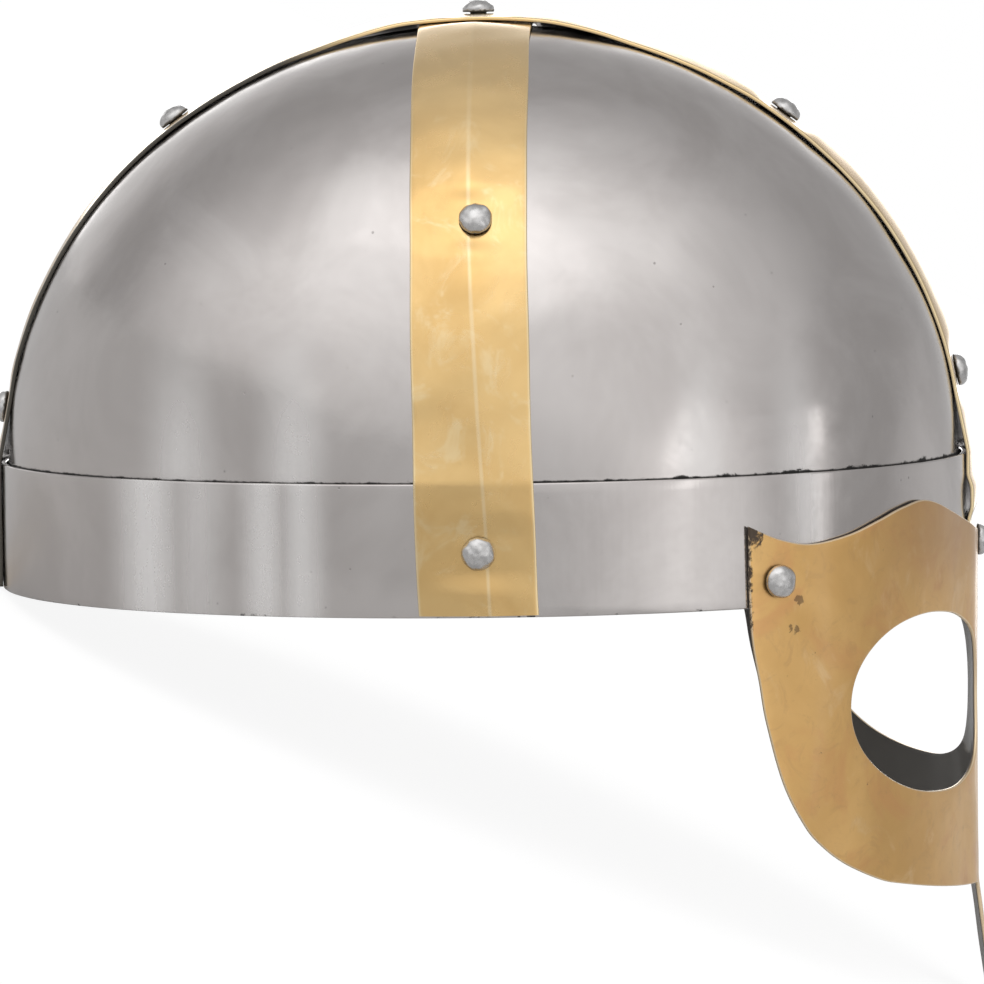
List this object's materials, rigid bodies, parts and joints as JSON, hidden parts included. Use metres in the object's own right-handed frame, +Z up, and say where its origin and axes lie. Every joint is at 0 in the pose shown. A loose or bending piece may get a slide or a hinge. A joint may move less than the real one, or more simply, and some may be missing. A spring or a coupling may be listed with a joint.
{
  "type": "spectacled viking helmet",
  "caption": "Open-faced riveted steel helmet with a brow band, two crossing brass straps, and a brass spectacle guard with nasal.",
  "frame": {"origin": "on the ground, under the middle of the helmet's box as it rests on the nasal tip and the rear of the brow band", "axes": "the wearer faces -Y and the wearer's left is +X; +Z is up from the ground, so the helmet leans back by 23.6 degrees"},
  "size_m": [0.209, 0.2882, 0.187],
  "materials": {
    "polished_steel": "polished, with soft reflections",
    "strap_brass": "polished golden brass",
    "guard_brass": "duller brown brass with tarnish",
    "rivet_steel": "dull hammered steel"
  },
  "bodies": {
    "root": {"skull_dome": "polished_steel", "brow_band": "polished_steel", "strap_fore_aft": "strap_brass", "strap_side": "strap_brass", "spectacle_guard": "guard_brass", "rivet_apex": "rivet_steel", "rivet_front_upper": "rivet_steel", "rivet_front_lower": "rivet_steel", "rivet_rear_upper": "rivet_steel", "rivet_rear_lower": "rivet_steel", "rivet_rear_foot": "rivet_steel", "rivet_front_foot": "rivet_steel", "rivet_left_upper": "rivet_steel", "rivet_right_upper": "rivet_steel", "rivet_left_foot": "rivet_steel", "rivet_right_foot": "rivet_steel", "rivet_left_temple": "rivet_steel", "rivet_right_temple": "rivet_steel"}
  },
  "joints": []
}
